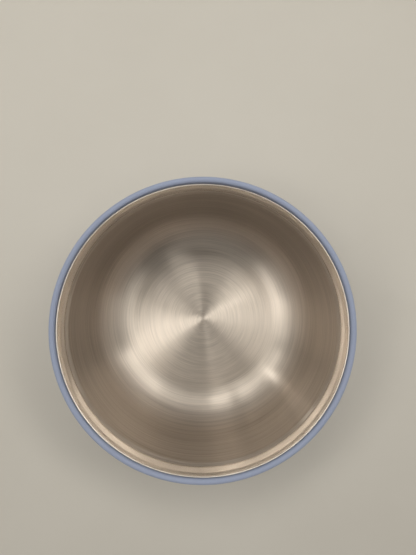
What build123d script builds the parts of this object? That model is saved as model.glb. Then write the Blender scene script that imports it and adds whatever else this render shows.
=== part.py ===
"""Suction bowl for feeding a small child, in millimetres.

A drawn stainless steel bowl stands in a moulded silicone sleeve. Under the sleeve's floor is a wide
suction foot: a thin web flares from a short neck down to a flat lip, and a pull tab on the lip lets
the air back in. The sleeve, web, lip and tab are one silicone moulding on the real object; they are
separate here because each of them moves or bends.

The frame: +Z up, the origin on the table at the bowl's axis, the pull tab towards -Y. Half sections
are drawn flat, x being the distance from the axis and y the height, and are turned about Z.
"""

import os
from math import radians, tan

from build123d import *

# Steel bowl
SHEET = 0.6  # thickness of the drawn sheet
DEPTH = 51.0  # inside, from the floor to the top edge
FLOOR_Z = 11.0  # height of the inside floor above the table
WALL_TILT = 8.5  # degrees that the wall leans outwards
CORNER_RADIUS = 18.0  # inside, between floor and wall
COLLAR_RADIUS = 59.6  # inside, at the top edge of the smooth band above the wall
COLLAR_HEIGHT = 7.0
COLLAR_FLARE = 0.9  # how much narrower the collar is at its foot
SHOULDER_STEP = 1.0  # how far the collar's foot stands outside the wall
SHOULDER_DROP = 1.4
SHOULDER_BLEND = 1.2
EDGE_BAND = 1.2  # height of the upright part under the edge
EDGE_BLEND = 4.0

# Silicone sleeve
RIM_RADIUS = 63.0  # the widest part of the whole object
FIT_GAP = 0.3  # between the steel and the sleeve's wall
SLEEVE_FLOOR = 2.8
FLANK_TOP_Z = 58.0  # where the upright rim turns into the leaning flank
FLANK_TILT = 10.0  # degrees
FLANK_BLEND = 12.0
NECK_RADIUS = 39.0
NECK_WALL = 3.6
NECK_HEIGHT = 2.2
NECK_BLEND = 1.6
RIB_RADII = (10.0, 18.0, 26.0)  # concentric ribs under the floor
RIB_WIDTH = 1.4
RIB_HEIGHT = 1.0

# Suction foot
LIP_RADIUS = 47.0
LIP_HEIGHT = 1.6
LIP_EDGE = 0.7  # thickness at the outer edge
WEB_WIDTH = 2.4  # measured along the table
WEB_FLARE = 3.6  # how far the web leans out between neck and lip
LIP_TOE = 0.8  # how far the lip reaches inside the web

# Pull tab
TAB_WIDTH = 20.0
TAB_REACH = 62.6  # from the axis to the tip
TAB_THICKNESS = 1.9
TAB_CORNER = 7.0
TAB_CLEARANCE = 0.25  # above the table
EAR_REACH = 48.2  # the ear of the lip, which the tab hangs on
HINGE_GAP = 0.3
RIDGE_COUNT = 3
RIDGE_PITCH = 2.2
RIDGE_WIDTH = 1.0
RIDGE_HEIGHT = 0.5
RIDGE_TAPER = 20.0  # degrees

# Worked out from the dimensions above
TOP_Z = FLOOR_Z + DEPTH
EDGE_Z = TOP_Z - SHEET / 2  # where the steel's rounded edge starts
SHOULDER_Z = TOP_Z - COLLAR_HEIGHT
WALL_TOP_Z = SHOULDER_Z - SHOULDER_DROP
COLLAR_FOOT_RADIUS = COLLAR_RADIUS - COLLAR_FLARE
WALL_TOP_RADIUS = COLLAR_FOOT_RADIUS - SHOULDER_STEP
WALL_FOOT_RADIUS = WALL_TOP_RADIUS - (WALL_TOP_Z - FLOOR_Z) * tan(radians(WALL_TILT))
SEAT_Z = FLOOR_Z - SHEET
SLEEVE_BORE = COLLAR_RADIUS + SHEET + FIT_GAP
SLEEVE_WALL = RIM_RADIUS - SLEEVE_BORE
RIM_Z = EDGE_Z + SLEEVE_WALL / 2
CEILING_Z = SEAT_Z - SLEEVE_FLOOR
FLANK_FOOT_RADIUS = RIM_RADIUS - (FLANK_TOP_Z - CEILING_Z) * tan(radians(FLANK_TILT))
NECK_BOTTOM_Z = CEILING_Z - NECK_HEIGHT
WEB_FOOT_RADIUS = NECK_RADIUS + WEB_FLARE
LIP_INNER_RADIUS = WEB_FOOT_RADIUS - WEB_WIDTH - LIP_TOE
HINGE_RADIUS = TAB_THICKNESS / 2
HINGE_Y = -(EAR_REACH + HINGE_GAP + HINGE_RADIUS)
HINGE_Z = TAB_CLEARANCE + HINGE_RADIUS

STEEL = Color(0.78, 0.76, 0.73)
SILICONE = Color(0.46, 0.50, 0.64)


def finish_part(name, part, colour):
    """Labels a finished piece, colours it and writes its STEP file."""
    part.label = name
    part.color = colour
    export_step(part, f"parts/{name}.step")
    print(f"{name}: {part.volume:.0f} mm3 in {len(part.solids())} solid")


os.makedirs("parts", exist_ok=True)

# ---------------------------------------------------------------- steel bowl
# The inside, from the axis out along the floor and up to the edge.
with BuildLine() as steel_inside:
    FilletPolyline(
        (0, FLOOR_Z),
        (WALL_FOOT_RADIUS, FLOOR_Z),
        (WALL_TOP_RADIUS, WALL_TOP_Z),
        (COLLAR_FOOT_RADIUS, SHOULDER_Z),
        (COLLAR_RADIUS, EDGE_Z - EDGE_BAND),
        (COLLAR_RADIUS, EDGE_Z),
        radius=[CORNER_RADIUS, SHOULDER_BLEND, SHOULDER_BLEND, EDGE_BLEND],
    )

steel_outside = offset(steel_inside.line, amount=SHEET, side=Side.RIGHT, closed=False)

with BuildPart() as steel_bowl:
    with BuildSketch(Plane.XZ):
        with BuildLine():
            add(steel_inside.line)
            add(steel_outside)
            Line((0, FLOOR_Z), (0, SEAT_Z))
            # The trimmed edge is polished fully round.
            ThreePointArc(
                (COLLAR_RADIUS, EDGE_Z),
                (COLLAR_RADIUS + SHEET / 2, TOP_Z),
                (COLLAR_RADIUS + SHEET, EDGE_Z),
            )
        make_face()
    revolve(axis=Axis.Z)
finish_part("steel_bowl", steel_bowl.part, STEEL)

# ---------------------------------------------------------------- silicone sleeve
# Its inside is the steel's outside moved out by the fit gap, so the steel rests flat on its floor
# and lifts straight out.
with BuildPart() as silicone_sleeve:
    with BuildSketch(Plane.XZ) as sleeve_section:
        with BuildLine():
            Line((0, SEAT_Z), (FIT_GAP, SEAT_Z))
            add(steel_outside.moved(Location((FIT_GAP, 0, 0))))
            ThreePointArc(
                (SLEEVE_BORE, EDGE_Z),
                (SLEEVE_BORE + SLEEVE_WALL / 2, RIM_Z),
                (RIM_RADIUS, EDGE_Z),
            )
            FilletPolyline(
                (RIM_RADIUS, EDGE_Z),
                (RIM_RADIUS, FLANK_TOP_Z),
                (FLANK_FOOT_RADIUS, CEILING_Z),
                (0, CEILING_Z),
                radius=[FLANK_BLEND, CORNER_RADIUS + SHEET + SLEEVE_WALL],
            )
            Line((0, CEILING_Z), (0, SEAT_Z))
        make_face()
        with Locations((NECK_RADIUS - NECK_WALL / 2, NECK_BOTTOM_Z)):
            Rectangle(NECK_WALL, NECK_HEIGHT + SLEEVE_FLOOR / 2, align=(Align.CENTER, Align.MIN))
        neck_roots = sleeve_section.vertices().sort_by_distance((NECK_RADIUS, CEILING_Z))
        fillet(neck_roots[0], radius=NECK_BLEND)
        for rib_radius in RIB_RADII:
            with Locations((rib_radius, CEILING_Z)):
                Rectangle(RIB_WIDTH, 2 * RIB_HEIGHT)
    revolve(axis=Axis.Z)
finish_part("silicone_sleeve", silicone_sleeve.part, SILICONE)

# ---------------------------------------------------------------- suction web
# The thin flared wall between neck and lip, which folds as the bowl is pressed down.
with BuildPart() as suction_web:
    with BuildSketch(Plane.XZ):
        with BuildLine():
            Polyline(
                (NECK_RADIUS - WEB_WIDTH, NECK_BOTTOM_Z),
                (NECK_RADIUS, NECK_BOTTOM_Z),
                (WEB_FOOT_RADIUS, LIP_HEIGHT),
                (WEB_FOOT_RADIUS - WEB_WIDTH, LIP_HEIGHT),
                close=True,
            )
        make_face()
    revolve(axis=Axis.Z)
finish_part("suction_web", suction_web.part, SILICONE)

# ---------------------------------------------------------------- suction lip
# The flat sealing ring on the table, thin at its outer edge, with an ear for the pull tab.
with BuildPart() as suction_lip:
    with BuildSketch(Plane.XZ):
        with BuildLine():
            Polyline(
                (LIP_INNER_RADIUS, 0),
                (LIP_RADIUS, 0),
                (LIP_RADIUS, LIP_EDGE),
                (WEB_FOOT_RADIUS, LIP_HEIGHT),
                (LIP_INNER_RADIUS, LIP_HEIGHT),
                close=True,
            )
        make_face()
    revolve(axis=Axis.Z)
    with BuildSketch():
        with Locations((0, -EAR_REACH)):
            Rectangle(TAB_WIDTH, EAR_REACH - LIP_INNER_RADIUS, align=(Align.CENTER, Align.MIN))
        Circle(WEB_FOOT_RADIUS, mode=Mode.SUBTRACT)
    extrude(amount=LIP_HEIGHT)
finish_part("suction_lip", suction_lip.part, SILICONE)

# ---------------------------------------------------------------- pull tab
# Its root is round about the hinge line. Ridges across the top give the finger a hold.
with BuildPart() as pull_tab:
    with BuildSketch(Plane.XY.offset(TAB_CLEARANCE)):
        with Locations((0, HINGE_Y)):
            Rectangle(TAB_WIDTH, TAB_REACH + HINGE_Y, align=(Align.CENTER, Align.MAX))
    extrude(amount=TAB_THICKNESS)
    fillet(pull_tab.edges().filter_by(Axis.Z).group_by(Axis.Y)[0], radius=TAB_CORNER)
    with BuildSketch(Plane.YZ.offset(-TAB_WIDTH / 2)):
        with Locations((HINGE_Y, HINGE_Z)):
            Circle(HINGE_RADIUS)
    extrude(amount=TAB_WIDTH)
    with BuildSketch(Plane.XY.offset(TAB_CLEARANCE + TAB_THICKNESS)):
        for ridge in range(RIDGE_COUNT):
            with Locations((0, -TAB_REACH + RIDGE_PITCH * (ridge + 1))):
                SlotOverall(TAB_WIDTH - TAB_CORNER, RIDGE_WIDTH)
    extrude(amount=RIDGE_HEIGHT, taper=RIDGE_TAPER)
finish_part("pull_tab", pull_tab.part, SILICONE)

print(f"hinge line at y {HINGE_Y:.2f}, z {HINGE_Z:.2f}; overall height {RIM_Z:.2f}")
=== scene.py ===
"""A feeding bowl of brushed steel in a silicone boot with a suction foot, seen from above.

Lengths are in metres in the frame of the CAD model: +Z up, the table at 0, the pull tab towards -Y.
Outlines are lists of (radius, height), turned about Z.
"""

from math import atan2, cos, hypot, pi, radians, sin, sqrt, tan

import bmesh
import bpy
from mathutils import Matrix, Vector


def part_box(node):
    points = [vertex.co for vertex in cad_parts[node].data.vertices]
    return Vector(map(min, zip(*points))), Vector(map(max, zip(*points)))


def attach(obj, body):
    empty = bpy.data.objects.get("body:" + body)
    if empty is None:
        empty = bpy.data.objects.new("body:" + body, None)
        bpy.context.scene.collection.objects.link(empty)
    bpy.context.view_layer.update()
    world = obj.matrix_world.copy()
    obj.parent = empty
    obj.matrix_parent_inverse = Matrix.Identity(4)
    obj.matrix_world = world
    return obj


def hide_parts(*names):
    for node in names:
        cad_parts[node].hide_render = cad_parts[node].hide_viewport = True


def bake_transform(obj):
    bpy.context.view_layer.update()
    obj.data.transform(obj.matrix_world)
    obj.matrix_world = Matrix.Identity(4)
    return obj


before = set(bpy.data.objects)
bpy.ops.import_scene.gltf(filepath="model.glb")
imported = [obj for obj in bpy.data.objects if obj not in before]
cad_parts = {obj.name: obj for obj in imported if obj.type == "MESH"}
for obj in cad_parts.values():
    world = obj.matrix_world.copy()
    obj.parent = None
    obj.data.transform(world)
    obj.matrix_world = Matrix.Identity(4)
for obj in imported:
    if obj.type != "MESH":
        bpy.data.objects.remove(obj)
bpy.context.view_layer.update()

MM = 0.001
SEGMENTS = 320  # round each turned piece

# ---------------------------------------------------------------- sizes
steel_low, steel_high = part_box("steel_bowl")
sleeve_low, sleeve_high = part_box("silicone_sleeve")
web_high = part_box("suction_web")[1]
lip_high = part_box("suction_lip")[1]
tab_low, tab_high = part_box("pull_tab")

SHEET = 0.6 * MM
WALL_TILT = radians(8.5)
CORNER_RADIUS = 18 * MM
COLLAR_HEIGHT = 7 * MM
COLLAR_FLARE = 0.9 * MM
EDGE_BAND = 2.0 * MM
SHOULDER_STEP = 1.0 * MM
SHOULDER_DROP = 1.4 * MM
SHOULDER_BLEND = 2.6 * MM
FIT_GAP = 0.3 * MM
SLEEVE_FLOOR = 2.8 * MM
FLANK_TOP_Z = 58 * MM
FLANK_TILT = radians(10)
NECK_RADIUS = 39 * MM
NECK_WALL = 3.6 * MM
WEB_WIDTH = 2.4 * MM
LIP_RADIUS = 47 * MM
LIP_EDGE = 0.7 * MM
RIB_RADII = (26 * MM, 18 * MM, 10 * MM)
RIB_WIDTH = 1.4 * MM
RIB_HEIGHT = 1.0 * MM

collar_radius = steel_high.x - SHEET
edge_z = steel_high.z - SHEET / 2
floor_z = steel_low.z + SHEET
shoulder_z = steel_high.z - COLLAR_HEIGHT
wall_top = (collar_radius - COLLAR_FLARE - SHOULDER_STEP, shoulder_z - SHOULDER_DROP)
wall_foot_radius = wall_top[0] - (wall_top[1] - floor_z) * tan(WALL_TILT)
sleeve_bore = steel_high.x + FIT_GAP
sleeve_wall = sleeve_high.x - sleeve_bore
ceiling_z = steel_low.z - SLEEVE_FLOOR
flank_foot_radius = sleeve_high.x - (FLANK_TOP_Z - ceiling_z) * tan(FLANK_TILT)


# ---------------------------------------------------------------- outlines and turned meshes
def rounded(corners, radii, step=radians(7)):
    """The outline through the corners with each inner corner turned on an arc of its radius."""
    outline = [corners[0]]
    for before, corner, after, radius in zip(corners, corners[1:], corners[2:], radii):
        a = (Vector(corner) - Vector(before)).normalized()
        b = (Vector(after) - Vector(corner)).normalized()
        turn = atan2(a.x * b.y - a.y * b.x, a.dot(b))
        if radius == 0 or abs(turn) < radians(0.1):
            outline.append(tuple(corner))
            continue
        start = Vector(corner) - a * radius * tan(abs(turn) / 2)
        side = 1 if turn > 0 else -1
        centre = start + Vector((-a.y, a.x)) * radius * side
        count = max(3, round(abs(turn) / step))
        for i in range(count + 1):
            swept = turn * i / count
            arm = start - centre
            outline.append((
                centre.x + arm.x * cos(swept) - arm.y * sin(swept),
                centre.y + arm.x * sin(swept) + arm.y * cos(swept),
            ))
    outline.append(corners[-1])
    return outline


def parallel(corners, distance):
    """The corners of the outline that runs beside this one, to the right of its direction."""
    normals = []
    for a, b in zip(corners, corners[1:]):
        along = (Vector(b) - Vector(a)).normalized()
        normals.append(Vector((along.y, -along.x)))
    moved = [Vector(corners[0]) + normals[0] * distance]
    for corner, m, n in zip(corners[1:-1], normals, normals[1:]):
        moved.append(Vector(corner) + (m + n) * distance / (1 + m.dot(n)))
    moved.append(Vector(corners[-1]) + normals[-1] * distance)
    return [tuple(p) for p in moved]


def divided(outline, longest):
    """The outline with its long runs divided, so that fine patterns and bends have points to hold."""
    points = [outline[0]]
    for a, b in zip(outline, outline[1:]):
        count = max(1, round(hypot(b[0] - a[0], b[1] - a[1]) / longest))
        for i in range(1, count + 1):
            t = i / count
            points.append((a[0] + (b[0] - a[0]) * t, a[1] + (b[1] - a[1]) * t))
    return points


def half_round(inner, outer, height, up=1, count=12):
    """A half circle from one radius to the other, over the top of an edge at this height."""
    middle, reach = (inner + outer) / 2, (inner - outer) / 2
    return [
        (middle + reach * cos(pi * i / count), height + up * abs(reach) * sin(pi * i / count))
        for i in range(count + 1)
    ]


def new_piece(name, mesh, material):
    """An object in the scene with smooth faces and one material."""
    mesh.materials.append(material)
    for face in mesh.polygons:
        face.use_smooth = True
    piece = bpy.data.objects.new(name, mesh)
    bpy.context.scene.collection.objects.link(piece)
    return piece


def turned(name, outline, material, segments=SEGMENTS):
    """A closed turned piece from an outline whose two ends lie on the axis."""
    bm = bmesh.new()
    rows = []
    for radius, height in outline:
        if radius < 1e-7:
            rows.append([bm.verts.new((0, 0, height))])
            continue
        rows.append([
            bm.verts.new((radius * cos(angle), radius * sin(angle), height))
            for angle in (2 * pi * i / segments for i in range(segments))
        ])
    for low, high in zip(rows, rows[1:]):
        for i in range(segments):
            j = (i + 1) % segments
            ring = [low[i % len(low)], low[j % len(low)], high[j % len(high)], high[i % len(high)]]
            bm.faces.new(list(dict.fromkeys(ring)))
    bmesh.ops.recalc_face_normals(bm, faces=bm.faces)
    mesh = bpy.data.meshes.new(name)
    bm.to_mesh(mesh)
    bm.free()
    return new_piece(name, mesh, material)


# ---------------------------------------------------------------- materials
def new_material(name):
    """A material with an empty node tree, as (material, nodes, links)."""
    material = bpy.data.materials.new(name)
    material.use_nodes = True
    tree = material.node_tree
    tree.nodes.clear()
    return material, tree.nodes, tree.links


def maths(nodes, links, operation, a, b=None, c=None):
    """A Math node of these inputs, each a number or a socket. Returns its output."""
    node = nodes.new("ShaderNodeMath")
    node.operation = operation
    for socket, value in zip(node.inputs, (a, b, c)):
        if value is None:
            continue
        if isinstance(value, (int, float)):
            socket.default_value = value
        else:
            links.new(value, socket)
    return node.outputs[0]


def noise(nodes, links, vector, scale, detail=2.0, roughness=0.5):
    """A noise texture's value output."""
    node = nodes.new("ShaderNodeTexNoise")
    node.inputs["Scale"].default_value = scale
    node.inputs["Detail"].default_value = detail
    node.inputs["Roughness"].default_value = roughness
    links.new(vector, node.inputs["Vector"])
    return node.outputs["Fac"]


def ranged(nodes, links, value, low, high, new_low, new_high, smooth=False):
    """The value mapped from one range to another and held inside it."""
    node = nodes.new("ShaderNodeMapRange")
    node.interpolation_type = "SMOOTHSTEP" if smooth else "LINEAR"
    links.new(value, node.inputs["Value"])
    limits = {"From Min": low, "From Max": high, "To Min": new_low, "To Max": new_high}
    for name, number in limits.items():
        node.inputs[name].default_value = number
    return node.outputs["Result"]


def mixed(nodes, links, share, a, b, blend="MIX"):
    """A colour between a and b, each a colour or a socket."""
    node = nodes.new("ShaderNodeMix")
    node.data_type = "RGBA"
    node.blend_type = blend
    for socket, value in ((node.inputs[0], share), (node.inputs[6], a), (node.inputs[7], b)):
        if hasattr(value, "is_output"):
            links.new(value, socket)
        elif isinstance(value, (int, float)):
            socket.default_value = value
        else:
            socket.default_value = (*value, 1)
    return node.outputs[2]


def round_the_axis(nodes, links):
    """(direction round the axis, radius, height), which say where a point is on a turned piece."""
    place = nodes.new("ShaderNodeTexCoord")
    split = nodes.new("ShaderNodeSeparateXYZ")
    links.new(place.outputs["Object"], split.inputs[0])
    flat = nodes.new("ShaderNodeCombineXYZ")
    links.new(split.outputs["X"], flat.inputs["X"])
    links.new(split.outputs["Y"], flat.inputs["Y"])
    length = nodes.new("ShaderNodeVectorMath")
    length.operation = "LENGTH"
    links.new(flat.outputs[0], length.inputs[0])
    direction = nodes.new("ShaderNodeVectorMath")
    direction.operation = "NORMALIZE"
    links.new(flat.outputs[0], direction.inputs[0])
    return direction.outputs[0], length.outputs["Value"], split.outputs["Z"]


def between(nodes, links, pattern, dark, light):
    """A colour between two, chosen by the middle of a noise pattern's range."""
    return mixed(nodes, links, ranged(nodes, links, pattern, 0.3, 0.7, 0, 1), dark, light)


def lines_round(nodes, links, direction, run, spacing, arc, detail=2.0):
    """Noise drawn out into lines round the axis: spacing is across the lines, arc how far they run."""
    scaled = nodes.new("ShaderNodeVectorMath")
    scaled.operation = "SCALE"
    links.new(direction, scaled.inputs[0])
    scaled.inputs["Scale"].default_value = arc
    across = nodes.new("ShaderNodeCombineXYZ")
    links.new(maths(nodes, links, "DIVIDE", run, spacing), across.inputs["Z"])
    total = nodes.new("ShaderNodeVectorMath")
    total.operation = "ADD"
    links.new(scaled.outputs[0], total.inputs[0])
    links.new(across.outputs[0], total.inputs[1])
    return noise(nodes, links, total.outputs[0], 1.0, detail, 0.6)


def brushed_steel():
    """Stainless steel brushed in circles about the axis, with a smoother collar under its edge."""
    material, nodes, links = new_material("brushed_steel")
    direction, radius, height = round_the_axis(nodes, links)
    run = maths(nodes, links, "ADD", radius, height)
    fine = lines_round(nodes, links, direction, run, 0.5 * MM, 1.4, 2.0)
    broad = lines_round(nodes, links, direction, run, 2.0 * MM, 1.0, 1.0)
    shader = nodes.new("ShaderNodeBsdfPrincipled")
    shader.inputs["Metallic"].default_value = 1.0
    shader.inputs["Anisotropic"].default_value = 1.0
    shader.inputs["Anisotropic Rotation"].default_value = 0.25
    tangent = nodes.new("ShaderNodeTangent")
    tangent.direction_type = "RADIAL"
    tangent.axis = "Z"
    links.new(tangent.outputs[0], shader.inputs["Tangent"])
    fine_share = maths(nodes, links, "MULTIPLY", fine, 0.7)
    broad_share = maths(nodes, links, "MULTIPLY", broad, 0.3)
    lines = maths(nodes, links, "ADD", fine_share, broad_share)

    # Each mask is 1 on its part of the bowl and 0 elsewhere.
    painted_wall_shade = ranged(nodes, links, height, floor_z + 8 * MM, floor_z + 22 * MM, 0, 1, smooth=True)
    collar_polish_and_painted_highlight = ranged(nodes, links, height, shoulder_z - 0.8 * MM, shoulder_z + 2 * MM, 0, 1, smooth=True)
    edge_top = ranged(nodes, links, height, edge_z, edge_z + 0.1 * MM, 0, 1)
    outer = ranged(nodes, links, radius, collar_radius + 0.3 * MM, collar_radius + 0.4 * MM, 0, 1)
    painted_gap_shadow = maths(nodes, links, "MULTIPLY", edge_top, outer)

    colour = between(nodes, links, lines, (0.45, 0.392, 0.338), (0.63, 0.553, 0.48))
    # Painted shade: the wall band's colour is darkened to stand in for the dark reflections the walls show.
    colour = mixed(nodes, links, painted_wall_shade, colour, (0.82, 0.80, 0.77), "MULTIPLY")
    # Painted highlight: the collar's colour is raised to a warm near white, a painted reflection on the
    # band. Its lower roughness further down is the real polish.
    colour = mixed(nodes, links, collar_polish_and_painted_highlight, colour, (0.97, 0.90, 0.82))
    # Painted shadow: the outer half of the rounded edge is painted dark for the shade in the gap between the
    # steel and the silicone.
    colour = mixed(nodes, links, painted_gap_shadow, colour, (0.24, 0.21, 0.19))
    links.new(colour, shader.inputs["Base Color"])
    roughness = ranged(nodes, links, lines, 0.3, 0.7, 0.285, 0.345)
    smoother = maths(nodes, links, "MULTIPLY", collar_polish_and_painted_highlight, 0.15)
    rougher = maths(nodes, links, "MULTIPLY", edge_top, 0.3)
    roughness = maths(nodes, links, "SUBTRACT", roughness, smoother)
    roughness = maths(nodes, links, "ADD", roughness, rougher)
    links.new(roughness, shader.inputs["Roughness"])
    output = nodes.new("ShaderNodeOutputMaterial")
    links.new(shader.outputs[0], output.inputs["Surface"])
    return material


def matte_silicone():
    """Periwinkle silicone with the fine powdery face of a blasted mould."""
    material, nodes, links = new_material("matte_silicone")
    place = nodes.new("ShaderNodeTexCoord")
    grain = noise(nodes, links, place.outputs["Object"], 2600, 3, 0.6)
    cloud = noise(nodes, links, place.outputs["Object"], 60, 3, 0.55)
    shader = nodes.new("ShaderNodeBsdfPrincipled")
    colour = between(nodes, links, cloud, (0.285, 0.322, 0.438), (0.30, 0.337, 0.453))
    links.new(colour, shader.inputs["Base Color"])
    links.new(ranged(nodes, links, grain, 0.3, 0.7, 0.62, 0.74), shader.inputs["Roughness"])
    shader.inputs["Specular IOR Level"].default_value = 0.35
    shader.inputs["Sheen Weight"].default_value = 0.18
    shader.inputs["Sheen Roughness"].default_value = 0.5
    bump = nodes.new("ShaderNodeBump")
    bump.inputs["Strength"].default_value = 0.25
    bump.inputs["Distance"].default_value = 0.03 * MM
    links.new(grain, bump.inputs["Height"])
    links.new(bump.outputs[0], shader.inputs["Normal"])
    output = nodes.new("ShaderNodeOutputMaterial")
    links.new(shader.outputs[0], output.inputs["Surface"])
    return material


def table_top():
    """A plain pale table."""
    material, nodes, links = new_material("table_top")
    place = nodes.new("ShaderNodeTexCoord")
    cloud = noise(nodes, links, place.outputs["Object"], 7, 4, 0.6)
    shader = nodes.new("ShaderNodeBsdfPrincipled")
    colour = between(nodes, links, cloud, (0.605, 0.567, 0.505), (0.635, 0.597, 0.535))
    links.new(colour, shader.inputs["Base Color"])
    shader.inputs["Roughness"].default_value = 0.6
    shader.inputs["Specular IOR Level"].default_value = 0.2
    output = nodes.new("ShaderNodeOutputMaterial")
    links.new(shader.outputs[0], output.inputs["Surface"])
    return material


steel = brushed_steel()
silicone = matte_silicone()

# ---------------------------------------------------------------- steel bowl
steel_corners = [
    (0, floor_z),
    (wall_foot_radius, floor_z),
    wall_top,
    (collar_radius - COLLAR_FLARE, shoulder_z),
    (collar_radius - 0.75 * MM, edge_z - EDGE_BAND),
    (collar_radius, edge_z),
]
steel_radii = [CORNER_RADIUS, SHOULDER_BLEND, SHOULDER_BLEND, 4 * MM]
outer_radii = [CORNER_RADIUS + SHEET, SHOULDER_BLEND - SHEET, SHOULDER_BLEND + SHEET, 4 * MM - SHEET]
steel_inside = rounded(steel_corners, steel_radii, radians(3))
steel_outside = rounded(parallel(steel_corners, SHEET), outer_radii, radians(3))


def steel_bowl():
    """The drawn sheet, with its edge rounded over."""
    edge = half_round(collar_radius, steel_high.x, edge_z)
    outline = divided(steel_inside, 2 * MM) + edge[1:-1] + divided(steel_outside, 2 * MM)[::-1]
    piece = turned("steel_bowl_shell", outline, steel)
    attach(piece, "bowl")
    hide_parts("steel_bowl")


# ---------------------------------------------------------------- silicone boot
def boot_outside():
    """From the widest part of the rim down the flank, neck and web to the lip and the table."""
    corners = [
        (sleeve_high.x, edge_z),
        (sleeve_high.x, FLANK_TOP_Z),
        (flank_foot_radius, ceiling_z),
        (NECK_RADIUS, ceiling_z),
        (NECK_RADIUS, sleeve_low.z),
        (web_high.x, lip_high.z),
        (LIP_RADIUS, LIP_EDGE),
        (LIP_RADIUS, 0),
        (web_high.x - WEB_WIDTH - 0.8 * MM, 0),
    ]
    outer_corner = CORNER_RADIUS + SHEET + sleeve_wall
    return rounded(corners, [12 * MM, outer_corner, 0.9 * MM, 2.4 * MM, 3 * MM, 0.35 * MM, 0.3 * MM])


def boot_underneath():
    """From the inner edge of the lip up inside the foot and across the ribbed ceiling to the axis."""
    neck_inner = NECK_RADIUS - NECK_WALL
    corners = [
        (web_high.x - WEB_WIDTH - 0.8 * MM, 0),
        (web_high.x - WEB_WIDTH - 0.8 * MM, lip_high.z),
        (web_high.x - WEB_WIDTH, lip_high.z),
        (NECK_RADIUS - WEB_WIDTH, sleeve_low.z),
        (neck_inner, sleeve_low.z),
        (neck_inner, ceiling_z),
    ]
    radii = [0.3 * MM, 0.3 * MM, 1.2 * MM, 0.5 * MM, 0.8 * MM]
    for rib in RIB_RADII:
        corners += [
            (rib + RIB_WIDTH / 2, ceiling_z),
            (rib + RIB_WIDTH / 2, ceiling_z - RIB_HEIGHT),
            (rib - RIB_WIDTH / 2, ceiling_z - RIB_HEIGHT),
            (rib - RIB_WIDTH / 2, ceiling_z),
        ]
        radii += [0.3 * MM, 0.3 * MM, 0.3 * MM, 0.3 * MM]
    corners.append((0, ceiling_z))
    return rounded(corners, radii, radians(15))


def silicone_boot():
    """The sleeve, web and lip are one skin."""
    inside = [(0, steel_low.z)] + [(r + FIT_GAP, z) for r, z in steel_outside]
    rim = half_round(sleeve_bore, sleeve_high.x, edge_z, count=16)
    outside = boot_outside()
    under = boot_underneath()
    outline = divided(inside, 2.5 * MM) + rim[1:]
    outline += divided(outside, 1.5 * MM)[1:] + divided(under, 1.5 * MM)[1:]
    piece = turned("silicone_boot", outline, silicone)
    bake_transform(piece)
    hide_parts("silicone_sleeve", "suction_web", "suction_lip")


# ---------------------------------------------------------------- pull tab
TAB_ROOT_Y = -43.2 * MM  # inside the lip, where the tab's end is hidden
TAB_CORNER = 7.0 * MM
TAB_FLARE = 4.5 * MM  # how much wider each side is at the lip
RIDGE_COUNT = 3
RIDGE_PITCH = 2.2 * MM
RIDGE_WIDTH = 1.1 * MM
RIDGE_HEIGHT = 0.5 * MM
RIDGE_END = 6.5 * MM  # half of a ridge's length

tab_half = tab_high.x
tab_tip = -tab_low.y
tab_under = tab_low.z
tab_thickness = 1.9 * MM


def smooth(t):
    """0 to 1 with level ends, held outside them."""
    t = min(1.0, max(0.0, t))
    return t * t * (3 - 2 * t)


def tab_section(reach):
    """(half width, middle height, half thickness) of the tab at this distance from the bowl's axis."""
    half = tab_half + TAB_FLARE * (1 - smooth((reach + TAB_ROOT_Y) / (7 * MM))) ** 2
    into_corner = reach - (tab_tip - TAB_CORNER)
    if into_corner > 0:
        half += sqrt(max(0, TAB_CORNER ** 2 - into_corner ** 2)) - TAB_CORNER
    leave_lip = smooth((reach + TAB_ROOT_Y) / (5 * MM))
    bottom = 0.15 * MM + (tab_under - 0.15 * MM) * leave_lip
    top = 1.35 * MM + (tab_under + tab_thickness - 1.35 * MM) * leave_lip
    thick = (top - bottom) / 2
    into_end = (reach - (tab_tip - thick)) / thick
    if into_end > 0:
        thick *= sqrt(max(0.0, 1 - into_end ** 2))
    return half, (top + bottom) / 2, thick


def ridge_lift(x, reach):
    """How far the thumb ridges stand above the tab at this point."""
    lift = 0
    for i in range(RIDGE_COUNT):
        off = abs(reach - (tab_tip - RIDGE_PITCH * (i + 1))) / (RIDGE_WIDTH / 2)
        lift = max(lift, 1 - smooth(off / 1.25))
    return RIDGE_HEIGHT * lift * (1 - smooth((abs(x) - RIDGE_END) / (1.2 * MM) + 0.5))


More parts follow.
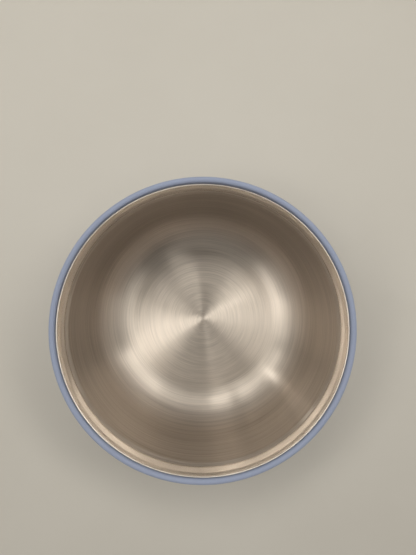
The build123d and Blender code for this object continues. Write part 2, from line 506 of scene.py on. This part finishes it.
def pull_tab():
    """The tab is lofted from cross sections, from its flared root inside the lip to its round tip."""
    across, around = 36, 8
    reach = -TAB_ROOT_Y
    reaches = []
    while reach < tab_tip - 0.95 * MM:
        reaches.append(reach)
        reach += 0.16 * MM
    reaches += [tab_tip - 0.95 * MM * (1 - sin(pi / 2 * i / 10)) for i in range(11)]
    bm = bmesh.new()
    rows = []
    for reach in reaches:
        half, middle, thick = tab_section(reach)
        flat = max(0.05 * MM, half - thick)
        ring = []
        for i in range(across):
            x = -flat + 2 * flat * i / across
            ring.append((x, middle + thick + ridge_lift(x, reach)))
        for i in range(around):
            angle = pi / 2 - pi * i / around
            ring.append((flat + thick * cos(angle), middle + thick * sin(angle)))
        for i in range(across):
            ring.append((flat - 2 * flat * i / across, middle - thick))
        for i in range(around):
            angle = -pi / 2 - pi * i / around
            ring.append((-flat + thick * cos(angle), middle + thick * sin(angle)))
        rows.append([bm.verts.new((x, -reach, z)) for x, z in ring])
    for near, far in zip(rows, rows[1:]):
        for i in range(len(near)):
            j = (i + 1) % len(near)
            bm.faces.new((near[i], near[j], far[j], far[i]))
    bm.faces.new(rows[0])
    bmesh.ops.remove_doubles(bm, verts=bm.verts, dist=0.002 * MM)
    bmesh.ops.recalc_face_normals(bm, faces=bm.faces)
    mesh = bpy.data.meshes.new("pull_tab_skin")
    bm.to_mesh(mesh)
    bm.free()
    piece = new_piece("pull_tab_skin", mesh, silicone)
    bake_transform(piece)
    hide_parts("pull_tab")


steel_bowl()
silicone_boot()
pull_tab()

# ---------------------------------------------------------------- table, light and camera
def table():
    """A pale round floor, wide enough that its edge lies on the horizon of the side views."""
    bm = bmesh.new()
    bmesh.ops.create_circle(bm, cap_ends=True, radius=1.55, segments=96)
    mesh = bpy.data.meshes.new("table")
    bm.to_mesh(mesh)
    bm.free()
    floor = new_piece("table", mesh, table_top())


def sky(colour, overhead, horizon):
    """A room that is dim overhead and pale round the horizon, unseen from the middle of the bowl's floor."""
    world = bpy.data.worlds.new("studio")
    world.use_nodes = True
    nodes, links = world.node_tree.nodes, world.node_tree.links
    place = nodes.new("ShaderNodeTexCoord")
    split = nodes.new("ShaderNodeSeparateXYZ")
    links.new(place.outputs["Generated"], split.inputs[0])
    background = nodes["Background"]
    background.inputs["Color"].default_value = (*colour, 1)
    strength = ranged(nodes, links, split.outputs["Z"], 0.38, 0.58, horizon, overhead, smooth=True)
    links.new(strength, background.inputs["Strength"])
    bpy.context.scene.world = world


def softbox(name, azimuth, zenith, across, along, radiance):
    """A box light that faces the bowl. Angles are in degrees; across and along are its size."""
    distance = 0.7
    data = bpy.data.lights.new(name, "AREA")
    data.shape = "RECTANGLE"
    data.size = 2 * distance * tan(radians(across) / 2)
    data.size_y = 2 * distance * tan(radians(along) / 2)
    data.energy = 4 * radiance * data.size * data.size_y
    data.color = (1.0, 0.99, 0.94)
    box = bpy.data.objects.new(name, data)
    a, z = radians(azimuth), radians(zenith)
    towards = Vector((sin(z) * cos(a), sin(z) * sin(a), cos(z)))
    box.location = Vector((0, 0, floor_z)) + towards * distance
    box.rotation_euler = towards.to_track_quat("Z", "Y").to_euler()
    box.visible_camera = False
    bpy.context.scene.collection.objects.link(box)


def floor_lamps():
    """A wide ring of lamps that face straight down and light the floor, out of the bowl's sight."""
    count, ring_radius, height = 6, 1.25, 1.0
    for i in range(count):
        data = bpy.data.lights.new(f"floor_lamp_{i + 1}", "AREA")
        data.size = 0.5
        data.energy = 1.8
        data.spread = radians(90)
        data.color = (1.0, 0.99, 0.94)
        lamp = bpy.data.objects.new(data.name, data)
        angle = 2 * pi * i / count
        lamp.location = (ring_radius * cos(angle), ring_radius * sin(angle), height)
        lamp.visible_camera = False
        bpy.context.scene.collection.objects.link(lamp)


def overhead_camera():
    """The camera looks almost straight down from a hand's height over the rim."""
    data = bpy.data.cameras.new("camera")
    data.sensor_width = 36
    data.lens = 25.95
    data.clip_start = 0.01
    data.clip_end = 20
    camera = bpy.data.objects.new("camera", data)
    camera.location = (-0.0014, 0.0218, edge_z + 0.1637)
    camera.rotation_euler = (0, radians(-1.1), 0)
    bpy.context.scene.collection.objects.link(camera)
    bpy.context.scene.camera = camera


table()
sky((1.0, 0.96, 0.92), 0.02, 0.42)
# Most boxes stand round the far side, which makes the bright and dark sectors on the brushed floor.
# Their directions and sizes were read from a least-squares fit of a grid of lights, and their first
# levels from a second fit. The back right, near and front boxes were then moved and resized,
# and most levels were changed.
softbox("right_box", 32, 33, 22, 10, 6.5)
softbox("back_right_box", 75, 33, 27, 10, 3.8)
softbox("back_box", 105, 33, 8.5, 10, 7.2)
softbox("back_left_box", 143, 33, 28, 10, 5.4)
softbox("left_box", 188, 33, 18, 10, 3.4)
softbox("far_box", 120, 23, 6, 10, 2.6)
softbox("far_right_box", 52, 23, 12, 10, 0.8)
softbox("low_right_box", 0, 61, 38, 18, 0.9)
softbox("near_right_box", 327, 15, 10, 12, 2.5)
softbox("near_left_box", 221, 15, 8, 12, 5.9)
softbox("front_box", 270, 25, 16, 8, 0.9)
softbox("top_box", 0, 0, 18, 18, 0.3)
softbox("small_lamp", 146, 59, 1, 1, 300)
floor_lamps()
overhead_camera()
bpy.context.scene.view_settings.view_transform = "Standard"
